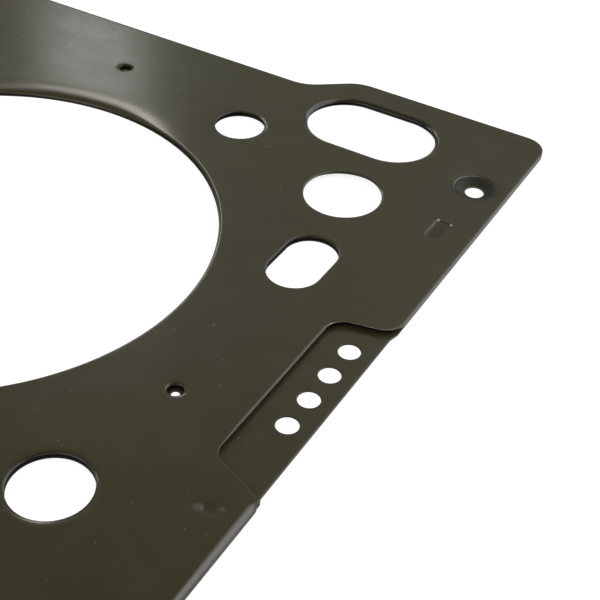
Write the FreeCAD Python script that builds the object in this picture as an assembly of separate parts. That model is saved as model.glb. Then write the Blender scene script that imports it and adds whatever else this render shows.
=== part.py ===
import FreeCAD, Part
import math
import os

# Multi-layer steel head gasket for a two-cylinder engine block.
# Millimetres. X runs along the row of bores, Y across the block, Z up.
# The origin is the middle of the head bolts' rectangle, on the underside.

# Engine pattern
cylinder_count = 2
bore_opening_radius = 48.0
web_between_bores = 16.0
bore_row_y = -1.0
bolt_row_inset = 1.5
far_bolt_radius = 7.9
near_bolt_radius = 6.9

# Sheet thicknesses, from the underside up
bottom_sheet_thickness = 0.25
distance_sheet_thickness = 0.85
top_sheet_thickness = 0.25

# Outer edge of the stack, each margin measured from the edge of a bore
end_margin = 36.4
plain_end_margin = 22.0
near_margin = 31.0
far_margin = 32.9
far_edge_step = 7.9
step_start_from_bore = 25.0
step_bend_radius = 9.0
step_slope_deg = 38.0
corner_radius = 5.0

# Turned-down rim of the top sheet round each bore
bore_rim_width = 2.6
bore_rim_drop = 0.75
distance_clearance = 0.2

# Passages, one near each bore; a bevel softens their upper edge
coolant_radius = 5.3
coolant_along_row = 25.0
coolant_margin = 10.1
coolant_bevel = 1.0
bolt_bevel = 0.8
bolt_overhang = 1.3
under_growth = 0.3

# Passages that only the end with the code holes has
oil_slot_along_row = 49.5
oil_slot_margin = 24.4
oil_slot_half_width = 9.0
oil_slot_straight = 10.9
water_slot_margin = 12.3
water_slot_across = 23.9
water_slot_half_width = 5.3
water_slot_straight = 6.4
oil_rim_width = 1.3
oil_rim_drop = 0.5
end_bleed_margin = 12.0
end_bleed_across = -17.8
far_bleed_along_row = -9.6
far_bleed_margin = 16.3
bleed_radius = 1.45
lower_bleed_radius = 0.75

# Window in the upper sheets that shows the code holes
window_depth = 11.1
window_far_y = 13.9
window_far_slope = 2.4
window_near_y = -31.9
window_near_slope = 4.5
window_far_bend = 4.0
window_near_bend = 3.0
window_overhang = 0.8
code_edge_inset = 0.5
code_hole_count = 4
code_hole_radius = 2.0
code_hole_pitch = 7.1
code_hole_first_y = 6.3
code_hole_from_edge = 5.1

# Rolled lip of the top sheet on the end edge beside the window
lip_radius = 0.95
lip_overhang = 0.4
lip_far_y = -32.6
lip_length = 40.0
lip_shoulder = 0.9

# Formed eyelet, each layer's hole smaller than the one above it
eyelet_from_edge = 6.8
eyelet_y = 63.5
eyelet_mouth_radius = 5.0
eyelet_top_radius = 4.2
eyelet_ledge_radius = 3.8
eyelet_throat_radius = 2.3
eyelet_hole_radius = 1.9

# Pressed pockets that lock the top sheet into the distance sheet
clinch_from_edge = 7.0
clinch_y = 46.2
plain_end_clinch_y = -64.0
clinch_width = 3.4
clinch_length = 6.4
clinch_depth = 0.3
clinch_clearance = 0.15

# Levels and places worked out from the sizes above
distance_base = bottom_sheet_thickness
top_base = distance_base + distance_sheet_thickness
total_height = top_base + top_sheet_thickness
bore_pitch = 2 * bore_opening_radius + web_between_bores
first_bore_x = -bore_pitch * (cylinder_count - 1) / 2
bore_places = [(first_bore_x + bore_pitch * i, bore_row_y) for i in range(cylinder_count)]
last_bore_x = bore_places[-1][0]
end_edge_x = last_bore_x + bore_opening_radius + end_margin
plain_end_x = first_bore_x - bore_opening_radius - plain_end_margin
near_edge_y = bore_row_y - bore_opening_radius - near_margin
far_edge_y = bore_row_y + bore_opening_radius + far_margin
bolt_row_y = bore_opening_radius - bolt_row_inset
bolt_columns = [first_bore_x + bore_pitch * (i - 0.5) for i in range(cylinder_count + 1)]
far_bolt_places = [(x, bolt_row_y) for x in bolt_columns]
near_bolt_places = [(x, -bolt_row_y) for x in bolt_columns]
bore_far_y = bore_row_y + bore_opening_radius
bore_end_x = last_bore_x + bore_opening_radius
coolant_places = [(x + coolant_along_row, bore_far_y + coolant_margin) for x, y in bore_places]
bleed_places = [
    (bore_end_x + end_bleed_margin, bore_row_y + end_bleed_across),
    (last_bore_x + far_bleed_along_row, bore_far_y + far_bleed_margin),
]
oil_slot_place = (last_bore_x + oil_slot_along_row, bore_far_y + oil_slot_margin)
water_slot_place = (bore_end_x + water_slot_margin, bore_row_y + water_slot_across)
eyelet_place = (end_edge_x - eyelet_from_edge, eyelet_y)
clinch_places = [
    (end_edge_x - clinch_from_edge, clinch_y),
    (plain_end_x + clinch_from_edge, plain_end_clinch_y),
]
above = 5.0


def rounded_wire(corners):
    """Closed wire through (x, y, radius) corners, each bend a tangent arc."""
    ends = []
    for i, (x, y, radius) in enumerate(corners):
        here = FreeCAD.Vector(x, y, 0)
        before = FreeCAD.Vector(*corners[i - 1][:2], 0)
        after = FreeCAD.Vector(*corners[(i + 1) % len(corners)][:2], 0)
        back = (before - here).normalize()
        on = (after - here).normalize()
        half = back.getAngle(on) / 2
        reach = radius / math.tan(half)
        middle = here + (back + on).normalize() * (radius / math.sin(half) - radius)
        ends.append((here + back * reach, middle, here + on * reach))
    edges = []
    for i, (start, middle, stop) in enumerate(ends):
        if corners[i][2] > 0:
            edges.append(Part.Arc(start, middle, stop).toShape())
        edges.append(Part.makeLine(stop, ends[(i + 1) % len(ends)][0]))
    return Part.Wire(edges)


def prism(corners, base, height):
    wire = rounded_wire(corners)
    wire.translate(FreeCAD.Vector(0, 0, base))
    return Part.Face(wire).extrude(FreeCAD.Vector(0, 0, height))


def disc(place, radius, base=-above, height=2 * above):
    return Part.makeCylinder(radius, height, FreeCAD.Vector(place[0], place[1], base))


def bevelled_disc(place, low_radius, high_radius, base, height):
    """Cutter for a hole whose wall slopes from one radius to the other."""
    return Part.makeCone(low_radius, high_radius, height, FreeCAD.Vector(place[0], place[1], base))


def slot(place, half_width, straight, along_x):
    """Round-ended cutter, its straight sides along X or along Y."""
    reach = straight / 2
    centres = [(s * reach, 0) if along_x else (0, s * reach) for s in (-1, 1)]
    size_x = straight if along_x else 2 * half_width
    size_y = 2 * half_width if along_x else straight
    body = Part.makeBox(size_x, size_y, 2 * above, FreeCAD.Vector(-size_x / 2, -size_y / 2, -above))
    body = body.multiFuse([disc(centre, half_width) for centre in centres]).removeSplitter()
    body.translate(FreeCAD.Vector(place[0], place[1], 0))
    return body


def rim_section(edge_radius, width, drop):
    """Top sheet's section where it is turned down to a hole's edge."""
    root_radius = edge_radius + width
    corners = [
        FreeCAD.Vector(root_radius, 0, total_height),
        FreeCAD.Vector(edge_radius, 0, total_height - drop),
        FreeCAD.Vector(edge_radius, 0, total_height - drop - top_sheet_thickness),
        FreeCAD.Vector(root_radius, 0, top_base),
    ]
    return Part.Face(Part.makePolygon(corners + corners[:1]))


def turned(shape, degrees):
    shape.rotate(FreeCAD.Vector(0, 0, 0), FreeCAD.Vector(0, 0, 1), degrees)
    return shape


def round_rim(place, edge_radius, width, drop):
    rim = rim_section(edge_radius, width, drop)
    rim = rim.revolve(FreeCAD.Vector(0, 0, 0), FreeCAD.Vector(0, 0, 1), 360)
    rim.translate(FreeCAD.Vector(place[0], place[1], 0))
    return rim


def slot_rim(place, half_width, straight, width, drop):
    """Turned-down rim round a slot whose straight sides run along X."""
    pieces = []
    for degrees in (0, 180):
        cap = turned(rim_section(half_width, width, drop), -90)
        cap = cap.revolve(FreeCAD.Vector(0, 0, 0), FreeCAD.Vector(0, 0, 1), 180)
        cap.translate(FreeCAD.Vector(straight / 2, 0, 0))
        side = turned(rim_section(half_width, width, drop), 90)
        side = side.extrude(FreeCAD.Vector(straight, 0, 0))
        side.translate(FreeCAD.Vector(-straight / 2, 0, 0))
        pieces += [turned(cap, degrees), turned(side, degrees)]
    rim = pieces[0].multiFuse(pieces[1:])
    rim.translate(FreeCAD.Vector(place[0], place[1], 0))
    return rim


def sheet_outline():
    """Corners of the stack's outer edge, with the stepped far side."""
    slope = math.radians(step_slope_deg)
    step_run = far_edge_step / math.tan(slope)
    bend_reach = step_bend_radius * math.tan(slope / 2)
    step_x = last_bore_x + step_start_from_bore + bend_reach
    return [
        (plain_end_x, near_edge_y, corner_radius),
        (end_edge_x, near_edge_y, corner_radius),
        (end_edge_x, far_edge_y + far_edge_step, corner_radius),
        (step_x + step_run, far_edge_y + far_edge_step, step_bend_radius),
        (step_x, far_edge_y, step_bend_radius),
        (plain_end_x, far_edge_y, corner_radius),
    ]


def window_outline(overhang):
    """Corners of the window cut from the end edge; overhang makes it larger."""
    left = end_edge_x - window_depth - overhang
    far = window_far_y + overhang
    near = window_near_y - overhang
    outside = end_edge_x + above
    past_far = far + 2 * window_far_bend
    past_near = near - 2 * window_near_bend
    return [
        (outside, past_far, 0),
        (end_edge_x, past_far, 0),
        (end_edge_x, far, window_far_bend),
        (left, far - window_far_slope, window_far_bend + overhang),
        (left, near + window_near_slope, window_near_bend + overhang),
        (end_edge_x, near, window_near_bend / 2),
        (end_edge_x, past_near, 0),
        (outside, past_near, 0),
    ]


def flat_sheet(base, thickness):
    return prism(sheet_outline(), base, thickness)


def lip():
    """Quarter roll of the top sheet down over the end edge, with round shoulders."""
    outer_x = end_edge_x + lip_overhang
    centre_x = outer_x - lip_radius
    centre_z = total_height - lip_radius
    near_y = lip_far_y - lip_length
    corner = FreeCAD.Vector(centre_x, near_y, centre_z)
    along = FreeCAD.Vector(0, 1, 0)
    roll = Part.makeCylinder(lip_radius, lip_length, corner, along)
    hollow = Part.makeCylinder(lip_radius - top_sheet_thickness, lip_length, corner, along)
    quarter = Part.makeBox(lip_radius, lip_length, lip_radius, corner)
    plan = prism([
        (centre_x, near_y, 0),
        (outer_x, near_y, lip_shoulder),
        (outer_x, lip_far_y, lip_shoulder),
        (centre_x, lip_far_y, 0),
    ], 0, total_height)
    return roll.cut(hollow).common(quarter).common(plan)


def lip_strip(extra):
    """Strip of the flat sheet that the rolled lip takes the place of."""
    inner_x = end_edge_x + lip_overhang - lip_radius - extra
    corner = FreeCAD.Vector(inner_x, lip_far_y - lip_length - extra, -above)
    return Part.makeBox(above, lip_length + 2 * extra, 2 * above, corner)


def clinch_box(place, growth, low, high):
    width = clinch_width + 2 * growth
    length = clinch_length + 2 * growth
    corner = FreeCAD.Vector(place[0] - width / 2, place[1] - length / 2, low)
    return Part.makeBox(width, length, high - low, corner)


def clinch_tray(place):
    """Pressed pocket with its floor let down into the distance sheet."""
    floor = total_height - clinch_depth
    tray = clinch_box(place, 0, floor - top_sheet_thickness, total_height)
    return tray.cut(clinch_box(place, -top_sheet_thickness, floor, total_height))


def top_sheet():
    """Upper functional sheet: turned rims, bevels, window, lip and pockets."""
    thickness = top_sheet_thickness
    cuts = [disc(bore, bore_opening_radius + bore_rim_width) for bore in bore_places]
    cuts += [disc(place, far_bolt_radius) for place in far_bolt_places]
    for place in near_bolt_places:
        mouth_radius = near_bolt_radius + bolt_bevel
        cuts.append(bevelled_disc(place, near_bolt_radius, mouth_radius, top_base, thickness))
    for place in coolant_places:
        mouth_radius = coolant_radius + coolant_bevel
        cuts.append(bevelled_disc(place, coolant_radius, mouth_radius, top_base, thickness))
    cuts.append(bevelled_disc(eyelet_place, eyelet_top_radius, eyelet_mouth_radius, top_base, thickness))
    cuts += [disc(place, bleed_radius) for place in bleed_places]
    cuts.append(slot(oil_slot_place, oil_slot_half_width + oil_rim_width, oil_slot_straight, True))
    cuts.append(slot(water_slot_place, water_slot_half_width, water_slot_straight, False))
    cuts.append(prism(window_outline(0), -above, 2 * above))
    cuts.append(lip_strip(0))
    cuts += [clinch_box(place, 0, 0, total_height + above) for place in clinch_places]

    adds = [round_rim(bore, bore_opening_radius, bore_rim_width, bore_rim_drop) for bore in bore_places]
    adds.append(
        slot_rim(oil_slot_place, oil_slot_half_width, oil_slot_straight, oil_rim_width, oil_rim_drop)
    )
    adds.append(lip())
    adds += [clinch_tray(place) for place in clinch_places]

    return flat_sheet(top_base, thickness).cut(cuts).multiFuse(adds).removeSplitter()


def distance_sheet():
    """Thick middle sheet; its holes clear the turned rims and the pockets."""
    thickness = distance_sheet_thickness
    clear_of_rim = bore_rim_width + distance_clearance
    cuts = [disc(bore, bore_opening_radius + clear_of_rim) for bore in bore_places]
    cuts += [disc(place, far_bolt_radius + bolt_overhang) for place in far_bolt_places]
    cuts += [disc(place, near_bolt_radius) for place in near_bolt_places]
    cuts += [disc(place, coolant_radius + under_growth) for place in coolant_places]
    cuts.append(
        bevelled_disc(eyelet_place, eyelet_throat_radius, eyelet_ledge_radius, distance_base, thickness)
    )
    cuts += [disc(place, bleed_radius) for place in bleed_places]
    oil_clear = oil_slot_half_width + oil_rim_width + distance_clearance
    cuts.append(slot(oil_slot_place, oil_clear, oil_slot_straight, True))
    cuts.append(slot(water_slot_place, water_slot_half_width, water_slot_straight, False))
    cuts.append(prism(window_outline(window_overhang), -above, 2 * above))
    cuts.append(lip_strip(distance_clearance))
    cuts += [clinch_box(place, clinch_clearance, -above, above) for place in clinch_places]
    return flat_sheet(distance_base, thickness).cut(cuts).removeSplitter()


def code_edge_strip():
    """Sliver that insets the bottom sheet's edge along the window."""
    outside = end_edge_x + above
    inset = end_edge_x - code_edge_inset
    return prism([
        (outside, window_far_y + 2 * code_edge_inset, 0),
        (end_edge_x, window_far_y + 2 * code_edge_inset, 0),
        (inset, window_far_y - 2 * code_edge_inset, 0),
        (inset, window_near_y + 2 * code_edge_inset, 0),
        (end_edge_x, window_near_y, 0),
        (outside, window_near_y, 0),
    ], -above, 2 * above)


def bottom_sheet():
    """Lower functional sheet; it carries the row of code holes."""
    code_x = end_edge_x - code_hole_from_edge
    code_holes = [(code_x, code_hole_first_y - code_hole_pitch * i) for i in range(code_hole_count)]
    cuts = [disc(bore, bore_opening_radius) for bore in bore_places]
    cuts += [disc(place, far_bolt_radius + bolt_overhang) for place in far_bolt_places]
    cuts += [disc(place, near_bolt_radius) for place in near_bolt_places]
    cuts += [disc(place, coolant_radius + under_growth) for place in coolant_places]
    cuts += [disc(place, code_hole_radius) for place in code_holes]
    cuts.append(disc(eyelet_place, eyelet_hole_radius))
    cuts += [disc(place, lower_bleed_radius) for place in bleed_places]
    cuts.append(slot(oil_slot_place, oil_slot_half_width + under_growth, oil_slot_straight, True))
    cuts.append(slot(water_slot_place, water_slot_half_width, water_slot_straight, False))
    cuts.append(code_edge_strip())
    return flat_sheet(0, bottom_sheet_thickness).cut(cuts).removeSplitter()


nodes = {
    "top_sheet": top_sheet(),
    "distance_sheet": distance_sheet(),
    "bottom_sheet": bottom_sheet(),
}

os.makedirs("parts", exist_ok=True)
for name, shape in nodes.items():
    shape.exportStep("parts/%s.step" % name)
    print(name, "solids", len(shape.Solids), "volume", round(shape.Volume, 1), "valid", shape.isValid())
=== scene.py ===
import math

import bmesh
import bpy
from mathutils import Matrix, Vector
from mathutils.geometry import delaunay_2d_cdt


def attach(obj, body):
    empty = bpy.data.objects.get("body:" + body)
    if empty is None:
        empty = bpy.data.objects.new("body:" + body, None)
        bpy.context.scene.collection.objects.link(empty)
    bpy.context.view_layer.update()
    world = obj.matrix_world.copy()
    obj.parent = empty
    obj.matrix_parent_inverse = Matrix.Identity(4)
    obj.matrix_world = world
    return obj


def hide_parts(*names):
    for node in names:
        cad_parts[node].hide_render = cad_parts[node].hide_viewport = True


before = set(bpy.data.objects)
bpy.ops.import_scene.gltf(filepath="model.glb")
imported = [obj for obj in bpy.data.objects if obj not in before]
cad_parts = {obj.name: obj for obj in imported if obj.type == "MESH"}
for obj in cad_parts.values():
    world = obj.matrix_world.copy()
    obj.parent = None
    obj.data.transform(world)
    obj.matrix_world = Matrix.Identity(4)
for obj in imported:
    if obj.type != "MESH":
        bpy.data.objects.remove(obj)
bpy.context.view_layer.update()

# Lengths are written in millimetres and turned into metres when a mesh is made
MM = 0.001
# Points closer than this count as one
SAME_PLACE = 1e-4

# Stack levels
BOTTOM_TOP = 0.25
DISTANCE_TOP = 1.10
TOP = 1.35
SHEET = 0.25

# Material slots of a sheet's faces; the wall's is painted near black as shade. The last is the eyelet's
# in the middle sheet, and the worn edge's in the top one, whose bright colour is also a painted
# highlight
FACE = 0
CUT = 1
WALL = 2
LINING = 3
NICKED_HIGHLIGHT = 3

# Bores, bolts and passages, at the places and sizes of the solids
BORE_RADIUS = 48.0
BORE_RIM_WIDTH = 2.6
RIM_CLEARANCE = 0.2
BORES = [(-56.0, -1.0), (56.0, -1.0)]
BOLT_COLUMNS = (-112.0, 0.0, 112.0)
FAR_BOLTS = [(x, 46.5) for x in BOLT_COLUMNS]
NEAR_BOLTS = [(x, -46.5) for x in BOLT_COLUMNS]
FAR_BOLT_RADIUS = 7.9
NEAR_BOLT_RADIUS = 6.9
BOLT_OVERHANG = 1.3
COOLANT = [(-31.0, 57.1), (81.0, 57.1)]
COOLANT_RADIUS = 5.3
UNDER_GROWTH = 0.3
BLEEDS = [(116.0, -18.8), (46.4, 63.3)]
BLEED_RADIUS = 1.45
LOWER_BLEED_RADIUS = 0.75
OIL_SLOT = (105.5, 71.4)
OIL_HALF_WIDTH = 9.0
OIL_STRAIGHT = 10.9
OIL_RIM_WIDTH = 1.3
OIL_RIM_DROP = 0.5
WATER_SLOT = (116.3, 22.9)
WATER_HALF_WIDTH = 5.3
WATER_STRAIGHT = 6.4
EYELET = (133.6, 63.5)
EYELET_TOP_RADIUS = 4.2
EYELET_LEDGE_RADIUS = 3.8
EYELET_THROAT_RADIUS = 2.3
EYELET_HOLE_RADIUS = 1.9
CLINCHES = [(133.4, 46.2), (-119.0, -64.0)]
CLINCH_WIDTH = 3.4
CLINCH_LENGTH = 6.4
CLINCH_DEPTH = 0.3
CLINCH_FLOOR_RISE = 0.17
CLINCH_CLEARANCE = 0.15
CODE_HOLES = [(135.3, 6.3 - 7.1 * i) for i in range(4)]
CODE_RADIUS = 2.0

# Pressed mark: a dimple between two knobs, in a hollow. Each knob has its place along the mark, its
# height, the spread of its form and the radius of a painted highlight on it.
PRESSED_MARK = (134.9, -37.45)
PRESSED_MARK_TURN = math.radians(24)
PRESSED_MARK_REACH = 3.6
DIMPLE_DEPTH = 0.06
HOLLOW_DEPTH = 0.045
KNOBS = ((-1.85, 0.045, 0.40, 0.75), (1.95, 0.035, 0.25, 0.45))

# Outer edge
END_X = 140.4
PLAIN_END_X = -126.0
NEAR_Y = -80.0
FAR_Y = 79.9
FAR_STEP = 7.9
STEP_SLOPE = math.radians(38.0)
STEP_BEND = 9.0
STEP_X = 81.0 + STEP_BEND * math.tan(STEP_SLOPE / 2)
CORNER = 5.0
WINDOW_DEPTH = 11.1
WINDOW_FAR_Y = 13.9
WINDOW_FAR_SLOPE = 2.4
WINDOW_NEAR_Y = -31.9
WINDOW_NEAR_SLOPE = 4.5
WINDOW_NEAR_BEND = 3.0
WINDOW_FAR_BEND = 4.0
WINDOW_OVERHANG = 0.8
CODE_EDGE_INSET = 0.5
CODE_EDGE_RUN = 1.0
CODE_EDGE_BEND = 0.6
LIP_FAR_Y = -32.6
LIP_NEAR_Y = -72.6
LIP_OVERHANG = 0.4
LIP_RADIUS = 0.95
LIP_SHOULDER = 1.2

# How softly a punched edge is rounded above, in each layer and place
EDGE_SOFT = 0.06
DISTANCE_EDGE_SOFT = 0.07
TOP_EDGE_SOFT = 0.05
WINDOW_NEAR_SOFT = 0.012
# Run along the S-curve of its worn bare edge, bright also as a painted highlight, above a wall painted
# dark as shade
WINDOW_WORN_HIGHLIGHT_RUN = 4.5

# Stretches in y of the window's edge: where it gets rounder, where it comes to
# be drawn down, and where it is plainly punched again
WINDOW_ROUNDING = (WINDOW_NEAR_Y + 2.0, WINDOW_NEAR_Y + 8.0)
WINDOW_DRAWING = (WINDOW_NEAR_Y + 4.0, WINDOW_NEAR_Y + 15.0)
WINDOW_PLAIN_AGAIN = (WINDOW_FAR_Y - 5.5, WINDOW_FAR_Y - 2.5)

# Points round a loop of each kind
BORE_POINTS = 288
OIL_SLOT_POINTS = 160
HOLE_POINTS = 128
EYELET_POINTS = 96
SMALL_POINTS = 64


def smoothstep(low, high, value):
    t = min(max((value - low) / (high - low), 0.0), 1.0)
    return t * t * (3 - 2 * t)


def rounded_loop(corners, step=2.0, turn=math.radians(5)):
    """Points round a closed outline of (x, y, radius) corners, anticlockwise.

    They lie at most step apart on a straight run, and turn apart on an arc.
    """
    count = len(corners)
    arcs = []
    for i, (x, y, radius) in enumerate(corners):
        here = Vector((x, y))
        back = (Vector(corners[i - 1][:2]) - here).normalized()
        on = (Vector(corners[(i + 1) % count][:2]) - here).normalized()
        if radius == 0:
            arcs.append([here])
            continue
        half = back.angle(on) / 2
        reach = radius / math.tan(half)
        centre = here + (back + on).normalized() * (radius / math.sin(half))
        start = here + back * reach - centre
        sweep = math.pi - 2 * half
        side = 1 if back.x * on.y - back.y * on.x < 0 else -1
        parts = max(3, math.ceil(sweep / turn))
        arc = []
        for k in range(parts + 1):
            angle = side * sweep * k / parts
            arc.append(centre + Matrix.Rotation(angle, 2) @ start)
        arcs.append(arc)
    points = []
    for i, arc in enumerate(arcs):
        points += arc
        goal = arcs[(i + 1) % count][0]
        run = (goal - arc[-1]).length
        parts = max(1, math.ceil(run / step))
        points += [arc[-1].lerp(goal, k / parts) for k in range(1, parts)]
    clean = [points[0]]
    for point in points[1:]:
        if (point - clean[-1]).length > SAME_PLACE:
            clean.append(point)
    if (clean[0] - clean[-1]).length < SAME_PLACE:
        clean.pop()
    return clean


def circle_loop(centre, radius, count):
    """Clockwise, so that the sheet lies on the same side as inside an outline."""
    points = []
    for k in range(count):
        angle = -2 * math.pi * k / count
        x = centre[0] + radius * math.cos(angle)
        y = centre[1] + radius * math.sin(angle)
        points.append(Vector((x, y)))
    return points


def slot_loop(centre, half_width, straight, along_x, count):
    """Clockwise round a slot with half-round ends."""
    points = []
    for point in circle_loop((0, 0), half_width, count):
        if along_x:
            shift = Vector((math.copysign(straight / 2, point.x), 0))
        else:
            shift = Vector((0, math.copysign(straight / 2, point.y)))
        points.append(Vector(centre) + point + shift)
    return points


def window_corners(edge_x, overhang, near_radius):
    """Corners of the window in the upper sheets, from its near end to its far one."""
    left = END_X - WINDOW_DEPTH - overhang
    far = WINDOW_FAR_Y + overhang
    near = WINDOW_NEAR_Y - overhang
    return [
        (edge_x, near, near_radius),
        (left, near + WINDOW_NEAR_SLOPE, WINDOW_NEAR_BEND + overhang),
        (left, far - WINDOW_FAR_SLOPE, WINDOW_FAR_BEND + overhang),
        (END_X, far, WINDOW_FAR_BEND),
    ]


def outline(end_corners):
    """Corners of a sheet's outer edge; end_corners run up its end edge."""
    step_run = FAR_STEP / math.tan(STEP_SLOPE)
    return [
        (PLAIN_END_X, NEAR_Y, CORNER),
        (END_X, NEAR_Y, CORNER),
        *end_corners,
        (END_X, FAR_Y + FAR_STEP, CORNER),
        (STEP_X + step_run, FAR_Y + FAR_STEP, STEP_BEND),
        (STEP_X, FAR_Y, STEP_BEND),
        (PLAIN_END_X, FAR_Y, CORNER),
    ]


def top_outline():
    return outline(window_corners(END_X, 0.0, 0.8))


def distance_outline():
    """The middle sheet stays clear of the rolled lip, and of the window's edge."""
    inset_x = END_X + LIP_OVERHANG - LIP_RADIUS - RIM_CLEARANCE
    lip_end_y = LIP_NEAR_Y - RIM_CLEARANCE
    return outline([
        (END_X, lip_end_y, 0),
        (inset_x, lip_end_y, 0),
        *window_corners(inset_x, WINDOW_OVERHANG, 0.6),
    ])


def bottom_outline():
    """The bottom sheet's end edge lies a little further in below the window."""
    inset_x = END_X - CODE_EDGE_INSET
    return outline([
        (END_X, WINDOW_NEAR_Y, CODE_EDGE_BEND),
        (inset_x, WINDOW_NEAR_Y + CODE_EDGE_RUN, CODE_EDGE_BEND),
        (inset_x, WINDOW_FAR_Y - CODE_EDGE_RUN, CODE_EDGE_BEND),
        (END_X, WINDOW_FAR_Y + CODE_EDGE_RUN, CODE_EDGE_BEND),
    ])


def sheared(base, top, soft=EDGE_SOFT, reach=0.5, side=CUT, corner=FACE):
    """Section of a punched edge: rounded above, nearly square below.

    Each entry is the distance into the sheet, the height and the material of
    the face that starts there.
    """
    height = top - base
    return [
        (reach, top, FACE),
        (soft * 2.2, top, FACE),
        (soft, top - soft * 0.22, corner),
        (soft * 0.3, top - soft * 0.8, corner),
        (0.0, top - soft * 1.8, side),
        (0.0, top - height * 0.55, side),
        (0.0, base + 0.02, side),
        (0.02, base, FACE),
        (reach, base, FACE),
    ]


def turned_down(width, drop, lead=0.6, parts=12):
    """Section of a rim that curves down ever more steeply to a hole's edge."""
    upper = [(width + lead, TOP, FACE)]
    lower = [(width + lead, TOP - SHEET, FACE)]
    for k in range(parts):
        t = k / parts
        fall = drop * t ** 2
        upper.append((width * (1 - t), TOP - fall, FACE))
        lower.append((width * (1 - t), TOP - fall - SHEET, FACE))
    edge = [
        (0.05, TOP - drop + 0.02, FACE),
        (0.01, TOP - drop - 0.02, WALL),
        (0.0, TOP - drop - 0.06, WALL),
        (0.0, TOP - drop - SHEET + 0.03, FACE),
    ]
    return upper + edge + lower[::-1]


# Slope of the top sheet at each distance from a bore's edge, where it eases
# down to the rim on the far side, and where it stays flat up to a tight curl
RIM_DISTANCES = (6.0, 5.0, 4.0, 3.2, 2.8, 2.2, 1.6, 1.2, 0.9, 0.65, 0.45, 0.28, 0.12)
RIM_EASED = (0.0, 0.015, 0.04, 0.07, 0.085, 0.115, 0.15, 0.19, 0.28, 0.38, 0.50, 0.65, 0.85)
RIM_TIGHT = (0.0, 0.0, 0.0, 0.0, 0.0, 0.0, 0.0, 0.0, 0.0, 0.0, 0.02, 0.7, 2.2)

# How far from the eyelet's edge its dish begins, and its depth further in
DISH_START = 1.95
DISH_STEPS = (
    (1.80, 0.002), (1.62, 0.022), (1.45, 0.038), (1.28, 0.041), (1.12, 0.050), (0.95, 0.075),
    (0.80, 0.090), (0.64, 0.094), (0.48, 0.105), (0.30, 0.140), (0.15, 0.165), (0.03, 0.180),
)

# Steps of the eyelet's cone, as shares of its run and of its height
CONE_STEPS = (
    (0.03, 0.01), (0.12, 0.18), (0.34, 0.28), (0.48, 0.52), (0.66, 0.60), (0.80, 0.84), (0.97, 0.94),
)
CONE_LEDGE = 1.4

# Fold of the lip, as shares of its radius: distance into the sheet, and drop
LIP_STEPS = ((1.0, 0.0), (0.70, 0.14), (0.42, 0.33), (0.18, 0.60), (0.0, 0.90))
LIP_LEAD = 0.5


def bore_rim(point, bore):
    """Section of the top sheet round a bore, down to the rim's edge.

    The lower face stays flat as far as the middle sheet reaches.
    """
    side = (point.x - bore[0]) / BORE_RADIUS
    tight = max(smoothstep(-0.05, 0.42, side), smoothstep(0.30, 0.90, -side))
    if point.y < bore[1]:
        tight = 1.0
    slopes = [eased + (curled - eased) * tight for eased, curled in zip(RIM_EASED, RIM_TIGHT)]
    height = TOP
    upper = [(RIM_DISTANCES[0], TOP, FACE)]
    lower = [(RIM_DISTANCES[0], TOP - SHEET, FACE)]
    for k in range(1, len(slopes)):
        inward = RIM_DISTANCES[k]
        height -= (RIM_DISTANCES[k - 1] - inward) * (slopes[k - 1] + slopes[k]) / 2
        upper.append((inward, height, FACE))
        flat = smoothstep(BORE_RIM_WIDTH - 1.0, BORE_RIM_WIDTH, inward)
        lower.append((max(inward, SHEET), height - SHEET + (TOP - height) * flat, FACE))
    edge = [
        (0.03, height - 0.06, WALL),
        (0.0, height - 0.12, WALL),
        (0.0, height - SHEET, FACE),
    ]
    return upper + edge + lower[::-1]


def drawn_in(width, drop, lead=1.0, power=2):
    """Section of a punched hole whose upper edge sinks softly before the wall."""
    rows = [(width + lead, TOP, FACE)]
    for t in (0.0, 0.25, 0.45, 0.62, 0.77, 0.90):
        rows.append((width * (1 - t), TOP - 0.002 - drop * t ** power, FACE))
    return rows + [
        (0.03, TOP - drop - 0.01, FACE),
        (0.0, TOP - drop - 0.05, WALL),
        (0.0, TOP - SHEET + 0.01, FACE),
        (0.01, TOP - SHEET, FACE),
        (width + lead, TOP - SHEET, FACE),
    ]


def dished():
    """Section of the eyelet's formed edge, which sinks in soft steps."""
    rows = [(DISH_START, TOP, FACE)]
    for inward, drop in DISH_STEPS:
        rows.append((inward, TOP - drop, FACE))
    return rows + [
        (0.0, TOP - 0.22, WALL),
        (0.0, TOP - SHEET + 0.01, FACE),
        (0.01, TOP - SHEET, FACE),
        (DISH_START, TOP - SHEET, FACE),
    ]


def window_edge():
    """Section of the top sheet where it is drawn down to the window's edge."""
    return [
        (1.40, TOP, FACE),
        (0.80, TOP - 0.003, FACE),
        (0.45, TOP - 0.018, FACE),
        (0.22, TOP - 0.045, FACE),
        (0.06, TOP - 0.095, FACE),
        (0.0, TOP - 0.150, FACE),
        (0.0, TOP - 0.230, FACE),
        (0.02, TOP - SHEET, FACE),
        (1.40, TOP - SHEET, FACE),
    ]


def funnel():
    """Section of the eyelet's cone through the middle sheet, from its ledge."""
    run = EYELET_LEDGE_RADIUS - EYELET_THROAT_RADIUS
    height = DISTANCE_TOP - BOTTOM_TOP
    rows = [(run + CONE_LEDGE, DISTANCE_TOP, LINING), (run + 0.1, DISTANCE_TOP, LINING)]
    for across, down in CONE_STEPS:
        rows.append((run * (1 - across), DISTANCE_TOP - height * down, LINING))
    return rows + [
        (0.0, BOTTOM_TOP + 0.02, LINING),
        (0.0, BOTTOM_TOP, LINING),
        (run + CONE_LEDGE, BOTTOM_TOP, LINING),
    ]


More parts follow.
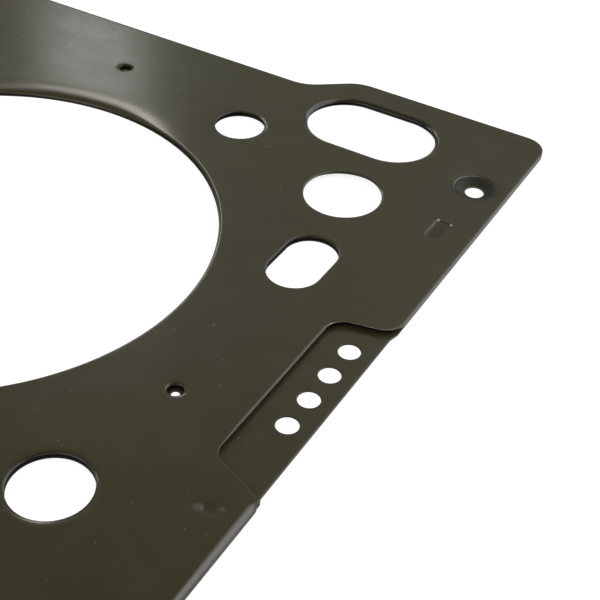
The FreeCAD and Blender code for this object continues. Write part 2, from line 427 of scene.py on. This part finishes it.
def lip_section():
    """Section of the top sheet's edge where it folds down over the lower ones."""
    rows = [(LIP_RADIUS + LIP_LEAD, TOP, FACE)]
    for inward, drop in LIP_STEPS:
        rows.append((LIP_RADIUS * inward, TOP - LIP_RADIUS * drop, FACE))
    return rows + [
        (SHEET, TOP - LIP_RADIUS, FACE),
        (LIP_RADIUS, TOP - SHEET, FACE),
        (LIP_RADIUS + LIP_LEAD, TOP - SHEET, FACE),
    ]


def pocket_rows(along):
    """Sections of a clinch pocket's upper and lower faces, down to its floor.

    The floor rises along the pocket; along is measured from the middle.
    """
    floor = TOP - CLINCH_DEPTH + CLINCH_FLOOR_RISE * (along / (CLINCH_LENGTH / 2 - SHEET))
    depth = TOP - floor
    upper = [
        (1.0, TOP, FACE),
        (0.45, TOP - 0.003, FACE),
        (0.24, TOP - 0.015, FACE),
        (0.10, TOP - 0.045, FACE),
        (0.03, TOP - depth * 0.45, WALL),
        (0.0, TOP - depth * 0.65, WALL),
        (-0.02, floor + 0.03, FACE),
        (-0.08, floor, FACE),
        (-0.25, floor, FACE),
    ]
    lower = [
        (1.0, TOP - SHEET, FACE),
        (SHEET, TOP - SHEET, FACE),
        (SHEET, TOP - CLINCH_DEPTH - SHEET + 0.06, FACE),
        (SHEET - 0.08, TOP - CLINCH_DEPTH - SHEET, FACE),
    ]
    return upper, lower


def pressed_mark_height(x, y):
    """Small dimple and a pair of knobs that stand in a shallow hollow."""
    along = x * math.cos(PRESSED_MARK_TURN) + y * math.sin(PRESSED_MARK_TURN)
    across = y * math.cos(PRESSED_MARK_TURN) - x * math.sin(PRESSED_MARK_TURN)
    height = -HOLLOW_DEPTH * math.exp(-((along / 2.9) ** 4 + (across / 1.7) ** 4))
    height -= DIMPLE_DEPTH * math.exp(-((along / 1.15) ** 4 + (across / 1.0) ** 4))
    for place, knob_height, spread, _ in KNOBS:
        height += knob_height * math.exp(-((along - place) ** 2 + across ** 2) / spread)
    return min(height, 0.0)


def outward_normals(points):
    """Unit vectors that point away from the sheet at each point of a loop."""
    normals = []
    count = len(points)
    for i in range(count):
        ahead = (points[(i + 1) % count] - points[i]).normalized()
        behind = (points[i] - points[i - 1]).normalized()
        along = (ahead + behind).normalized()
        normals.append(Vector((along.y, -along.x)))
    return normals


class SheetMesh:
    """Collects the bands round every edge of a sheet and fills its two faces."""

    def __init__(self):
        self.bm = bmesh.new()
        self.rims = {"upper": [], "lower": []}

    def vertex(self, x, y, height):
        """A vertex at a place given in millimetres."""
        return self.bm.verts.new((x * MM, y * MM, height * MM))

    def sweep(self, points, rows_at):
        """Rings of vertices, one for each row of a section swept round a loop."""
        sections = [rows_at(point) for point in points]
        normals = outward_normals(points)
        rings = []
        for k in range(len(sections[0])):
            ring = []
            for point, normal, rows in zip(points, normals, sections):
                place = point - normal * rows[k][0]
                ring.append(self.vertex(place.x, place.y, rows[k][1]))
            rings.append(ring)
        count = len(points)
        for k, (ring, following) in enumerate(zip(rings, rings[1:])):
            for i in range(count):
                j = (i + 1) % count
                face = self.bm.faces.new((ring[i], following[i], following[j], ring[j]))
                face.material_index = sections[i][k][2]
        return rings

    def band(self, points, rows):
        """The edge of the sheet round a loop; rows may vary along it."""
        rings = self.sweep(points, rows if callable(rows) else lambda point: rows)
        self.rims["upper"].append(rings[0])
        self.rims["lower"].append(rings[-1])

    def holes(self, places, radius, rows, count=HOLE_POINTS):
        """Bands round holes of one size."""
        for place in places:
            self.band(circle_loop(place, radius, count), rows)

    def pocket(self, points, rows_at):
        """A pressed pocket with a closed floor; rows_at gives both faces' rows."""
        for part, side in enumerate(("upper", "lower")):
            rings = self.sweep(points, lambda point: rows_at(point)[part])
            self.rims[side].append(rings[0])
            self.bm.faces.new(rings[-1])

    def relief(self, centre, reach, height_at, rings=28, turns=72):
        """A round patch of the upper face raised or sunk by a formula."""
        middle = self.vertex(centre[0], centre[1], TOP + height_at(0, 0))
        inner = None
        for k in range(1, rings + 1):
            ring = []
            for spoke in circle_loop((0, 0), reach * k / rings, turns):
                height = TOP + height_at(spoke.x, spoke.y)
                ring.append(self.vertex(centre[0] + spoke.x, centre[1] + spoke.y, height))
            for i in range(turns):
                j = (i + 1) % turns
                if inner:
                    self.bm.faces.new((ring[i], ring[j], inner[j], inner[i]))
                else:
                    self.bm.faces.new((ring[i], ring[j], middle))
            inner = ring
        self.rims["upper"].append(inner)

    def fill(self, side):
        """Triangulates the flat face between the bands.

        Every hole is convex, so a triangle with all its corners on one hole's
        loop lies in the hole. The first loop is the sheet's outline.
        """
        verts = []
        loop_of = []
        edges = []
        for number, loop in enumerate(self.rims[side]):
            start = len(verts)
            size = len(loop)
            edges += [(start + k, start + (k + 1) % size) for k in range(size)]
            verts += loop
            loop_of += [number] * size
        flat = [Vector((vert.co.x / MM, vert.co.y / MM)) for vert in verts]
        _, _, faces, origins, _, _ = delaunay_2d_cdt(flat, edges, [], 1, 1e-6)
        for face in faces:
            sources = [origins[k][0] for k in face]
            numbers = {loop_of[k] for k in sources}
            if len(numbers) == 1 and 0 not in numbers:
                continue
            corners = [verts[k] for k in sources]
            if side == "lower":
                corners.reverse()
            self.bm.faces.new(corners)

    def finish(self, name, materials, node):
        """Makes the piece that stands for one of the CAD nodes."""
        self.fill("upper")
        self.fill("lower")
        bmesh.ops.recalc_face_normals(self.bm, faces=self.bm.faces)
        mesh = bpy.data.meshes.new(name)
        self.bm.to_mesh(mesh)
        self.bm.free()
        mesh.polygons.foreach_set("use_smooth", [True] * len(mesh.polygons))
        for material in materials:
            mesh.materials.append(material)
        piece = bpy.data.objects.new(name, mesh)
        bpy.context.collection.objects.link(piece)
        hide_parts(node)
        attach(piece, "root")


class Nodes:
    """Short way to wire a material's nodes."""

    def __init__(self, name):
        self.material = bpy.data.materials.new(name)
        self.material.use_nodes = True
        self.tree = self.material.node_tree
        self.shader = self.tree.nodes["Principled BSDF"]
        self.place = self.add("ShaderNodeTexCoord").outputs["Object"]

    def add(self, kind, **settings):
        node = self.tree.nodes.new(kind)
        for key, value in settings.items():
            setattr(node, key, value)
        return node

    def link(self, source, target):
        self.tree.links.new(source, target)

    def set(self, node, socket, value):
        """Links a socket, or sets a constant."""
        if isinstance(value, bpy.types.NodeSocket):
            self.link(value, node.inputs[socket])
        else:
            node.inputs[socket].default_value = value

    def noise(self, scale, detail=2.0, roughness=0.5, vector=None):
        node = self.add("ShaderNodeTexNoise")
        self.link(vector or self.place, node.inputs["Vector"])
        node.inputs["Scale"].default_value = scale
        node.inputs["Detail"].default_value = detail
        node.inputs["Roughness"].default_value = roughness
        return node.outputs["Fac"]

    def stretched(self, scale):
        """Object coordinates with a scale of their own along each axis."""
        node = self.add("ShaderNodeMapping")
        self.link(self.place, node.inputs["Vector"])
        node.inputs["Scale"].default_value = scale
        return node.outputs["Vector"]

    def range(self, value, low, high, to_low, to_high):
        node = self.add("ShaderNodeMapRange", interpolation_type="SMOOTHSTEP")
        self.link(value, node.inputs["Value"])
        node.inputs["From Min"].default_value = low
        node.inputs["From Max"].default_value = high
        node.inputs["To Min"].default_value = to_low
        node.inputs["To Max"].default_value = to_high
        return node.outputs["Result"]

    def maths(self, operation, first, second):
        node = self.add("ShaderNodeMath", operation=operation)
        self.set(node, 0, first)
        self.set(node, 1, second)
        return node.outputs["Value"]

    def times(self, first, second):
        return self.maths("MULTIPLY", first, second)

    def mix(self, factor, first, second):
        """Mixes two colours; the node keeps these sockets for its colour mode."""
        node = self.add("ShaderNodeMix", data_type="RGBA")
        for index, value in ((0, factor), (6, first), (7, second)):
            self.set(node, index, value)
        return node.outputs[2]

    def near(self, centre, radius, edge):
        """1 within radius of a point given in millimetres, 0 beyond its soft edge."""
        node = self.add("ShaderNodeVectorMath", operation="DISTANCE")
        self.link(self.place, node.inputs[0])
        node.inputs[1].default_value = tuple(v * MM for v in centre)
        distance = node.outputs["Value"]
        return self.range(distance, (radius - edge) * MM, (radius + edge) * MM, 1.0, 0.0)

    def bump(self, height, strength, distance_mm, normal=None):
        node = self.add("ShaderNodeBump")
        self.link(height, node.inputs["Height"])
        node.inputs["Strength"].default_value = strength
        node.inputs["Distance"].default_value = distance_mm * MM
        if normal is not None:
            self.link(normal, node.inputs["Normal"])
        return node.outputs["Normal"]


# Base colours
OLIVE = (0.0450, 0.0425, 0.0180, 1.0)
OLIVE_BROWN = (0.0420, 0.0370, 0.0170, 1.0)
OLIVE_LIGHT = (0.0500, 0.0480, 0.0240, 1.0)
# Painted shade: darker coating for faces sunk below the top face
OLIVE_PAINTED_SHADE = (0.0190, 0.0180, 0.0100, 1.0)
DUST = (0.240, 0.230, 0.190, 1.0)
RUBBED_AND_KNOB_HIGHLIGHT = (0.072, 0.069, 0.054, 1.0)
# Painted highlight on the lip's fold
LIP_PAINTED_HIGHLIGHT = (0.120, 0.114, 0.098, 1.0)
NICK = (0.420, 0.400, 0.340, 1.0)
STEEL = (0.150, 0.140, 0.118, 1.0)
STEEL_DARK = (0.060, 0.055, 0.046, 1.0)
# Painted shade: near black for the walls of holes, pockets and the window, which stand in shadow
PAINTED_SHADE_WALL_LIGHT = (0.012, 0.011, 0.009, 1.0)
PAINTED_SHADE_WALL_DARK = (0.006, 0.006, 0.005, 1.0)
LINING_LIGHT = (0.024, 0.023, 0.013, 1.0)
LINING_DARK = (0.014, 0.013, 0.008, 1.0)

# Where a clinch pocket has nicked or rubbed the coating: place, radius, colour
CLINCH_WEAR = ((-1.25, 2.95, 0.30, NICK), (1.50, 2.75, 0.28, NICK), (-0.95, -0.10, 0.30, RUBBED_AND_KNOB_HIGHLIGHT))


def worn_and_highlight_spots():
    """Places where pressing the sheet has rubbed or nicked its coating at the clinches, and painted
    highlights on the pressed mark's knobs.
    """
    spots = []
    for x, y in CLINCHES:
        for across, along, radius, tint in CLINCH_WEAR:
            spots.append((x + across, y + along, radius, tint))
    # Painted highlights on the knobs, lighter as if lit
    for along, _, _, radius in KNOBS:
        x = PRESSED_MARK[0] + along * math.cos(PRESSED_MARK_TURN)
        y = PRESSED_MARK[1] + along * math.sin(PRESSED_MARK_TURN)
        spots.append((x, y, radius, RUBBED_AND_KNOB_HIGHLIGHT))
    return spots


def recess_shade_amount(n, spot):
    """1 where the sheet is drawn in below its top face round its holes: painted shade, as if these
    recesses lay in shadow.

    The rims of the bores keep their colour, the clinch pockets most of it, and
    the bottom sheet all of it.
    """
    sunk = n.range(spot.outputs["Z"], (TOP - 0.20) * MM, (TOP - 0.03) * MM, 1.0, 0.0)
    sunk = n.times(sunk, n.range(spot.outputs["Z"], 0.27 * MM, 0.40 * MM, 0.0, 1.0))
    for x, y in BORES:
        beyond = n.maths("SUBTRACT", 1.0, n.near((x, y, TOP), BORE_RADIUS + 4.5, 0.5))
        sunk = n.times(sunk, beyond)
    for x, y in CLINCHES:
        beyond = n.maths("SUBTRACT", 1.0, n.near((x, y, TOP), CLINCH_LENGTH * 0.7, 0.5))
        sunk = n.times(sunk, n.maths("MAXIMUM", beyond, 0.35))
    return sunk


def lip_highlight_amount(n, spot):
    """1 on the fold of the lip, made lighter there as a painted highlight."""
    lip_highlight = n.range(spot.outputs["X"], (END_X - 0.60) * MM, (END_X - 0.45) * MM, 0.0, 1.0)
    for low, high in ((LIP_NEAR_Y, LIP_NEAR_Y + 1.0), (LIP_FAR_Y, LIP_FAR_Y - 1.0)):
        lip_highlight = n.times(lip_highlight, n.range(spot.outputs["Y"], low * MM, high * MM, 0.0, 1.0))
    return lip_highlight


def coated_material():
    """Dark olive elastomer coating with faint mottling, dust and rubbing, with painted shade in sunk
    recesses and painted highlights on the knobs and the lip's fold.
    """
    n = Nodes("coated_steel")
    broad = n.noise(16.0, 3.0)
    mottle = n.noise(160.0, 3.0, 0.6)
    grain = n.noise(2600.0, 2.0, 0.6)
    colour = n.mix(n.range(broad, 0.35, 0.65, 0.0, 1.0), OLIVE, OLIVE_BROWN)
    colour = n.mix(n.range(mottle, 0.40, 0.75, 0.0, 0.45), colour, OLIVE_LIGHT)
    speck = n.noise(900.0, 1.0, 0.4)
    speck = n.range(speck, 0.775, 0.81, 0.0, 0.40)
    colour = n.mix(speck, colour, DUST)
    # Rubbed and nicked coating at the clinches, and painted highlights on the knobs
    for x, y, radius, tint in worn_and_highlight_spots():
        colour = n.mix(n.near((x, y, TOP), radius, radius * 0.45), colour, tint)
    spot = n.add("ShaderNodeSeparateXYZ")
    n.link(n.place, spot.inputs[0])
    # Painted shade in the sunk recesses
    colour = n.mix(recess_shade_amount(n, spot), colour, OLIVE_PAINTED_SHADE)
    # Painted highlight on the fold of the lip
    colour = n.mix(lip_highlight_amount(n, spot), colour, LIP_PAINTED_HIGHLIGHT)
    n.link(colour, n.shader.inputs["Base Color"])
    rough = n.range(mottle, 0.3, 0.7, 0.17, 0.20)
    rough = n.maths("ADD", rough, n.range(grain, 0.3, 0.7, -0.01, 0.02))
    n.link(rough, n.shader.inputs["Roughness"])
    n.shader.inputs["Specular IOR Level"].default_value = 0.42
    fine = n.bump(grain, 0.05, 0.004)
    n.link(n.bump(mottle, 0.05, 0.004, fine), n.shader.inputs["Normal"])
    return n.material


def edge_material(name, bright, dark, metallic=0.55, specular=0.5, roughness=0.38):
    """Sheared steel: drawn marks along the punch's stroke, dulled by coating. With near-black colours
    it also paints walls dark as shade.
    """
    n = Nodes(name)
    streaks = n.noise(1.0, 2.0, 0.6, n.stretched((900.0, 900.0, 90.0)))
    patches = n.noise(120.0, 2.0, 0.6)
    colour = n.mix(n.range(streaks, 0.3, 0.7, 0.0, 1.0), dark, bright)
    colour = n.mix(n.range(patches, 0.45, 0.7, 0.0, 0.5), colour, dark)
    n.link(colour, n.shader.inputs["Base Color"])
    n.link(n.range(streaks, 0.3, 0.7, roughness, roughness + 0.17), n.shader.inputs["Roughness"])
    n.shader.inputs["Metallic"].default_value = metallic
    n.shader.inputs["Specular IOR Level"].default_value = specular
    n.link(n.bump(streaks, 0.25, 0.03), n.shader.inputs["Normal"])
    return n.material


coated = coated_material()
edge = edge_material("sheared_edge", STEEL, STEEL_DARK)
bare = edge_material("bare_steel", STEEL, STEEL_DARK)
# Worn bare edge along the S-curve; its bright colour is also a painted highlight
nicked = edge_material("nicked_edge_painted_highlight", NICK, STEEL)
# Walls painted near black as shade
wall = edge_material("painted_shade_wall", PAINTED_SHADE_WALL_LIGHT, PAINTED_SHADE_WALL_DARK, 0.0, 0.10, 0.80)
lining = edge_material("eyelet_lining", LINING_LIGHT, LINING_DARK, 0.0, 0.25, 0.50)


def lip_amount(point):
    """How far the end edge is rolled down at a point: 0 not at all, 1 fully."""
    if point.x < END_X - 0.05:
        return 0.0
    near = smoothstep(LIP_NEAR_Y, LIP_NEAR_Y + LIP_SHOULDER, point.y)
    far = 1 - smoothstep(LIP_FAR_Y - LIP_SHOULDER, LIP_FAR_Y, point.y)
    return near * far


def blended(rows, goal, amount):
    """Section between two others; it keeps the materials of the first."""
    mixed = []
    for (inward, height, material), (goal_in, goal_height, _) in zip(rows, goal):
        inward += (goal_in - inward) * amount
        height += (goal_height - height) * amount
        mixed.append((inward, height, material))
    return mixed


def beside_window(point):
    return WINDOW_NEAR_Y - 1 < point.y < WINDOW_FAR_Y + 1


def in_window(point):
    return beside_window(point) and point.x < END_X - 0.3


def distance_edge_rows(point):
    """Bright along the outside; inside the window, a wall painted dark as shade."""
    side = WALL if in_window(point) else CUT
    return sheared(BOTTOM_TOP, DISTANCE_TOP, soft=DISTANCE_EDGE_SOFT, side=side)


def top_edge_rows(point):
    """Punched along the outside, drawn down at the window, rolled at the lip.

    The window's near end is cut sharp. Its far one, the S-curve, has a worn bare edge, bright also as a
    painted highlight, above a wall painted dark as shade.
    """
    soft = TOP_EDGE_SOFT
    side, corner = CUT, FACE
    drawn = 0.0
    if beside_window(point):
        rounded = smoothstep(*WINDOW_ROUNDING, point.y)
        soft = WINDOW_NEAR_SOFT + (TOP_EDGE_SOFT - WINDOW_NEAR_SOFT) * rounded
        drawn = smoothstep(0.05, 3.0, END_X - point.x)
        drawn *= smoothstep(*WINDOW_DRAWING, point.y)
        drawn *= 1 - smoothstep(*WINDOW_PLAIN_AGAIN, point.y)
    # Along the S-curve: wall painted dark as shade, worn edge bright also as a painted highlight
    if in_window(point) and point.y > WINDOW_FAR_Y - WINDOW_WORN_HIGHLIGHT_RUN:
        side, corner = WALL, NICKED_HIGHLIGHT
    rows = sheared(DISTANCE_TOP, TOP, soft=soft, reach=0.6, side=side, corner=corner)
    rows = blended(rows, window_edge(), drawn)
    rolled = [(inward - LIP_OVERHANG, height, material) for inward, height, material in lip_section()]
    return blended(rows, rolled, lip_amount(point))


def top_edge_points():
    """Outline with closely spaced points where the lip's shoulders are."""
    points = rounded_loop(top_outline())
    extra = []
    for i, point in enumerate(points):
        extra.append(point)
        after = points[(i + 1) % len(points)]
        if min(point.x, after.x) > END_X - SAME_PLACE and point.y < LIP_FAR_Y + 3:
            extra += [point.lerp(after, k / 8) for k in range(1, 8)]
    return extra


def rectangle(centre, half_x, half_y, third):
    """Its corners, each with a third value: a radius or a height."""
    signs = ((-1, -1), (1, -1), (1, 1), (-1, 1))
    return [(centre[0] + x * half_x, centre[1] + y * half_y, third) for x, y in signs]


def clinch_points(place):
    """Clockwise round a clinch pocket's inner wall."""
    corners = rectangle(place, CLINCH_WIDTH / 2 - SHEET, CLINCH_LENGTH / 2 - SHEET, 0.5)
    return rounded_loop(corners, step=0.5, turn=math.radians(10))[::-1]


def oil_slot_loop(growth=0.0):
    return slot_loop(OIL_SLOT, OIL_HALF_WIDTH + growth, OIL_STRAIGHT, True, OIL_SLOT_POINTS)


def water_slot_loop():
    return slot_loop(WATER_SLOT, WATER_HALF_WIDTH, WATER_STRAIGHT, False, HOLE_POINTS)


def make_top_sheet():
    sheet = SheetMesh()
    sheet.band(top_edge_points(), top_edge_rows)
    for bore in BORES:
        sheet.band(circle_loop(bore, BORE_RADIUS, BORE_POINTS), lambda point: bore_rim(point, bore))
    sheet.holes(FAR_BOLTS, FAR_BOLT_RADIUS, drawn_in(0.6, 0.16))
    sheet.holes(NEAR_BOLTS, NEAR_BOLT_RADIUS, drawn_in(1.7, 0.18, power=3))
    sheet.holes(COOLANT, COOLANT_RADIUS, drawn_in(1.5, 0.18, power=3))
    sheet.holes(BLEEDS, BLEED_RADIUS, drawn_in(0.7, 0.14, lead=0.5), SMALL_POINTS)
    sheet.band(oil_slot_loop(), turned_down(OIL_RIM_WIDTH, OIL_RIM_DROP))
    sheet.band(water_slot_loop(), drawn_in(0.6, 0.09))
    sheet.holes([EYELET], EYELET_TOP_RADIUS, dished(), EYELET_POINTS)
    for place in CLINCHES:
        sheet.pocket(clinch_points(place), lambda point: pocket_rows(point.y - place[1]))
    sheet.relief(PRESSED_MARK, PRESSED_MARK_REACH, pressed_mark_height)
    sheet.finish("top_sheet_formed", (coated, edge, wall, nicked), "top_sheet")


def make_distance_sheet():
    cut = sheared(BOTTOM_TOP, DISTANCE_TOP, soft=DISTANCE_EDGE_SOFT, side=WALL)
    sheet = SheetMesh()
    sheet.band(rounded_loop(distance_outline()), distance_edge_rows)
    sheet.holes(BORES, BORE_RADIUS + BORE_RIM_WIDTH + RIM_CLEARANCE, cut, BORE_POINTS)
    sheet.holes(FAR_BOLTS, FAR_BOLT_RADIUS + BOLT_OVERHANG, cut)
    sheet.holes(NEAR_BOLTS, NEAR_BOLT_RADIUS, cut)
    sheet.holes(COOLANT, COOLANT_RADIUS + UNDER_GROWTH, cut)
    sheet.holes(BLEEDS, BLEED_RADIUS, cut, SMALL_POINTS)
    sheet.band(oil_slot_loop(OIL_RIM_WIDTH + RIM_CLEARANCE), cut)
    sheet.band(water_slot_loop(), cut)
    sheet.holes([EYELET], EYELET_THROAT_RADIUS, funnel(), EYELET_POINTS)
    half_x = CLINCH_WIDTH / 2 + CLINCH_CLEARANCE
    half_y = CLINCH_LENGTH / 2 + CLINCH_CLEARANCE
    for place in CLINCHES:
        sheet.band(rounded_loop(rectangle(place, half_x, half_y, 0.02))[::-1], cut)
    sheet.finish("distance_sheet_punched", (bare, edge, wall, lining), "distance_sheet")


def make_bottom_sheet():
    cut = sheared(0.0, BOTTOM_TOP, side=WALL)
    sheet = SheetMesh()
    sheet.band(rounded_loop(bottom_outline()), sheared(0.0, BOTTOM_TOP))
    sheet.holes(BORES, BORE_RADIUS, cut, BORE_POINTS)
    sheet.holes(FAR_BOLTS, FAR_BOLT_RADIUS + BOLT_OVERHANG, cut)
    sheet.holes(NEAR_BOLTS, NEAR_BOLT_RADIUS, cut)
    sheet.holes(COOLANT, COOLANT_RADIUS + UNDER_GROWTH, cut)
    sheet.holes(CODE_HOLES, CODE_RADIUS, cut, SMALL_POINTS)
    sheet.holes(BLEEDS, LOWER_BLEED_RADIUS, cut, SMALL_POINTS)
    sheet.band(oil_slot_loop(UNDER_GROWTH), cut)
    sheet.band(water_slot_loop(), cut)
    sheet.holes([EYELET], EYELET_HOLE_RADIUS, cut, SMALL_POINTS)
    sheet.finish("bottom_sheet_coated", (coated, edge, wall), "bottom_sheet")


make_top_sheet()
make_distance_sheet()
make_bottom_sheet()

# White studio floor, in metres, just clear of the part's lower face
FLOOR_Z = -0.00002
FLOOR_HALF = 3
FLOOR_GREY = 0.35
FLOOR_GLOW = 0.85


def floor_material():
    """White to the camera and in reflections; clear from below, to show the underside."""
    n = Nodes("studio_floor")
    n.shader.inputs["Base Color"].default_value = (FLOOR_GREY, FLOOR_GREY, FLOOR_GREY, 1)
    n.shader.inputs["Roughness"].default_value = 0.9
    n.shader.inputs["Emission Color"].default_value = (1, 1, 1, 1)
    rays = n.add("ShaderNodeLightPath").outputs
    seen = n.maths("MAXIMUM", rays["Is Camera Ray"], rays["Is Glossy Ray"])
    seen = n.maths("MAXIMUM", seen, rays["Is Transmission Ray"])
    n.link(n.times(seen, FLOOR_GLOW), n.shader.inputs["Emission Strength"])
    clear = n.add("ShaderNodeBsdfTransparent")
    sides = n.add("ShaderNodeMixShader")
    n.link(n.add("ShaderNodeNewGeometry").outputs["Backfacing"], sides.inputs["Fac"])
    n.link(n.shader.outputs["BSDF"], sides.inputs[1])
    n.link(clear.outputs["BSDF"], sides.inputs[2])
    n.link(sides.outputs["Shader"], n.tree.nodes["Material Output"].inputs["Surface"])
    return n.material


floor_mesh = bpy.data.meshes.new("floor")
floor_mesh.from_pydata(rectangle((0, 0), FLOOR_HALF, FLOOR_HALF, FLOOR_Z), [], [(0, 1, 2, 3)])
floor_mesh.materials.append(floor_material())
floor = bpy.data.objects.new("floor", floor_mesh)
bpy.context.collection.objects.link(floor)

# Camera where the photograph was taken from: its place in metres, its axes, and
# its lens and sensor in millimetres
CAMERA_PLACE = Vector((0.20504, -0.14563, 0.14806))
RIGHT = Vector((0.86519596, 0.4992425, 0.04682819))
DOWN = Vector((0.34862552, -0.53178079, -0.77179624))
FORWARD = Vector((-0.36041116, 0.68408049, -0.63414326))
LENS = 76.96
SENSOR_WIDTH = 36.0
camera_data = bpy.data.cameras.new("camera")
camera_data.lens = LENS
camera_data.sensor_width = SENSOR_WIDTH
camera_data.clip_start = 0.01
camera = bpy.data.objects.new("camera", camera_data)
axes = Matrix((RIGHT, -DOWN, -FORWARD)).transposed().to_4x4()
camera.matrix_world = Matrix.Translation(CAMERA_PLACE) @ axes
bpy.context.collection.objects.link(camera)
bpy.context.scene.camera = camera


def area_light(name, place, aim, size, power, colour=(1, 1, 1)):
    """Rectangular lamp at a place, turned towards its aim; metres and watts."""
    data = bpy.data.lights.new(name, "AREA")
    data.shape = "RECTANGLE"
    data.size, data.size_y = size
    data.energy = power
    data.color = colour
    light = bpy.data.objects.new(name, data)
    light.location = place
    light.rotation_euler = (Vector(aim) - Vector(place)).to_track_quat("-Z", "Y").to_euler()
    bpy.context.collection.objects.link(light)


# Two large lamps light the part evenly. Three small ones are seen mirrored in the
# coating: on the flat beyond the far bore, along its rim and at the rim's end.
area_light("key", (-0.192, -0.583, 0.766), (0.08, 0.0, 0.0), (0.85, 0.85), 2.9)
area_light("back", (0.36, 0.42, 0.40), (0.12, 0.03, 0.0), (0.70, 0.70), 3.2)
area_light("sheen", (-0.668, 0.942, 0.620), (0.05, 0.057, 0.0), (0.11, 0.12), 0.17, (0.93, 1.0, 0.96))
area_light("crest", (-0.129, 0.258, 0.226), (0.054, 0.051, 0.0), (0.05, 0.05), 0.058, (1.0, 0.97, 0.91))
area_light("streak", (-0.689, 0.249, 0.764), (0.075, 0.044, 0.0), (0.12, 0.12), 0.36, (1.0, 0.96, 0.90))

# Backdrop: brightness at each height of the view direction, from the horizon to
# the zenith. The camera sees it white.
SKY_LEVELS = (
    (0.20, 0.38), (0.50, 0.28), (0.57, 0.34), (0.64, 0.46), (0.70, 0.28), (0.78, 0.13), (1.0, 0.08),
)
HORIZON_LEVEL = 0.60


def studio_world():
    world = bpy.data.worlds.new("studio")
    world.use_nodes = True
    sky = world.node_tree
    direction = sky.nodes.new("ShaderNodeSeparateXYZ")
    sky.links.new(sky.nodes.new("ShaderNodeTexCoord").outputs["Generated"], direction.inputs[0])
    ramp = sky.nodes.new("ShaderNodeValToRGB")
    sky.links.new(direction.outputs["Z"], ramp.inputs["Fac"])
    steps = ramp.color_ramp.elements
    steps.remove(steps[1])
    steps[0].color = (HORIZON_LEVEL, HORIZON_LEVEL, HORIZON_LEVEL, 1)
    for height, level in SKY_LEVELS:
        steps.new(height).color = (level, level, level, 1)
    rays = sky.nodes.new("ShaderNodeLightPath").outputs
    strength = ramp.outputs["Color"]
    for ray in ("Is Camera Ray", "Is Transmission Ray"):
        seen = sky.nodes.new("ShaderNodeMath")
        seen.operation = "MAXIMUM"
        sky.links.new(strength, seen.inputs[0])
        sky.links.new(rays[ray], seen.inputs[1])
        strength = seen.outputs["Value"]
    sky.links.new(strength, sky.nodes["Background"].inputs["Strength"])
    sky.nodes["Background"].inputs["Color"].default_value = (1, 1, 1, 1)
    return world


bpy.context.scene.world = studio_world()
bpy.context.scene.view_settings.view_transform = "Standard"
